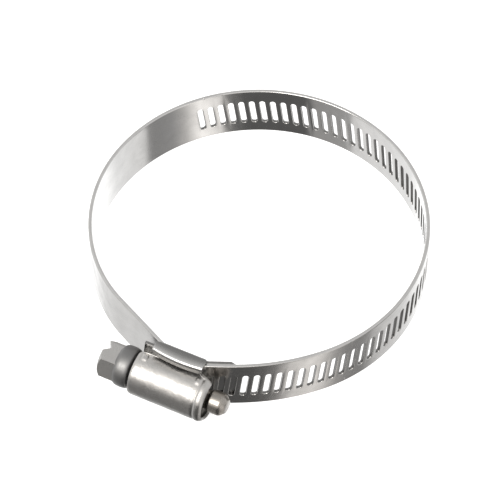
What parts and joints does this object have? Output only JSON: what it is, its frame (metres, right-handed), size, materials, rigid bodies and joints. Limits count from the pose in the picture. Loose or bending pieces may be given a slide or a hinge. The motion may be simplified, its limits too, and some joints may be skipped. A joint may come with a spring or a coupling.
{
  "type": "worm-drive hose clamp",
  "caption": "Worm-drive hose clamp: a slotted steel band closed into a ring by a hex-head screw in a folded housing, to clamp a hose onto a pipe.",
  "frame": {"origin": "on the ring's axis, halfway across the band's width, where the middle of the clamped hose lies", "axes": "+Z along the ring's axis, +Y away from the housing, +X along the screw from its hex head to its tip"},
  "size_m": [0.0776, 0.088, 0.016],
  "materials": {
    "saddle_steel": "bright rolled stainless",
    "housing_steel": "satin rolled stainless, faintly mottled",
    "screw_steel": "smooth cold-headed steel",
    "band_steel": "bright rolled stainless strip"
  },
  "bodies": {
    "frame": {"saddle": "saddle_steel", "housing": "housing_steel", "band_fixed_end": "band_steel"},
    "screw": {"screw": "screw_steel"},
    "band_arc_1": {"band_arc_1": "band_steel"},
    "band_arc_2": {"band_arc_2": "band_steel"},
    "band_arc_3": {"band_arc_3": "band_steel"},
    "band_arc_4": {"band_arc_4": "band_steel"},
    "band_tail": {"band_tail": "band_steel"}
  },
  "joints": [
    {"name": "screw_turn", "type": "hinge", "parent": "frame", "child": "screw", "pos_m": [0, -0.04378, 0], "axis": [1, 0, 0], "range_deg": [-1080, 0]},
    {"name": "band_bend_1", "type": "hinge", "parent": "frame", "child": "band_arc_1", "pos_m": [-0.0032, -0.0398, 0], "axis": [0, 0, 1], "range_deg": [-6, 0]},
    {"name": "band_bend_2", "type": "hinge", "parent": "band_arc_1", "child": "band_arc_2", "pos_m": [-0.03787, -0.00617, 0], "axis": [0, 0, 1], "range_deg": [0, 4]},
    {"name": "band_bend_3", "type": "hinge", "parent": "band_arc_2", "child": "band_arc_3", "pos_m": [-0.00168, 0.03846, 0], "axis": [0, 0, 1], "range_deg": [0, 4]},
    {"name": "band_bend_4", "type": "hinge", "parent": "band_arc_3", "child": "band_arc_4", "pos_m": [0.0377, -0.00779, 0], "axis": [0, 0, 1], "range_deg": [0, 4]},
    {"name": "band_bend_5", "type": "hinge", "parent": "band_arc_4", "child": "band_tail", "pos_m": [0.00615, -0.0405, 0], "axis": [0, 0, 1], "range_deg": [-4, 0]}
  ],
  "couplings": [
    {"joint": "band_bend_1", "follows": "screw_turn", "ratio": 0.0054047},
    {"joint": "band_bend_2", "follows": "screw_turn", "ratio": -0.0029612},
    {"joint": "band_bend_3", "follows": "screw_turn", "ratio": -0.0024969},
    {"joint": "band_bend_4", "follows": "screw_turn", "ratio": -0.0028505},
    {"joint": "band_bend_5", "follows": "screw_turn", "ratio": 0.002904}
  ]
}
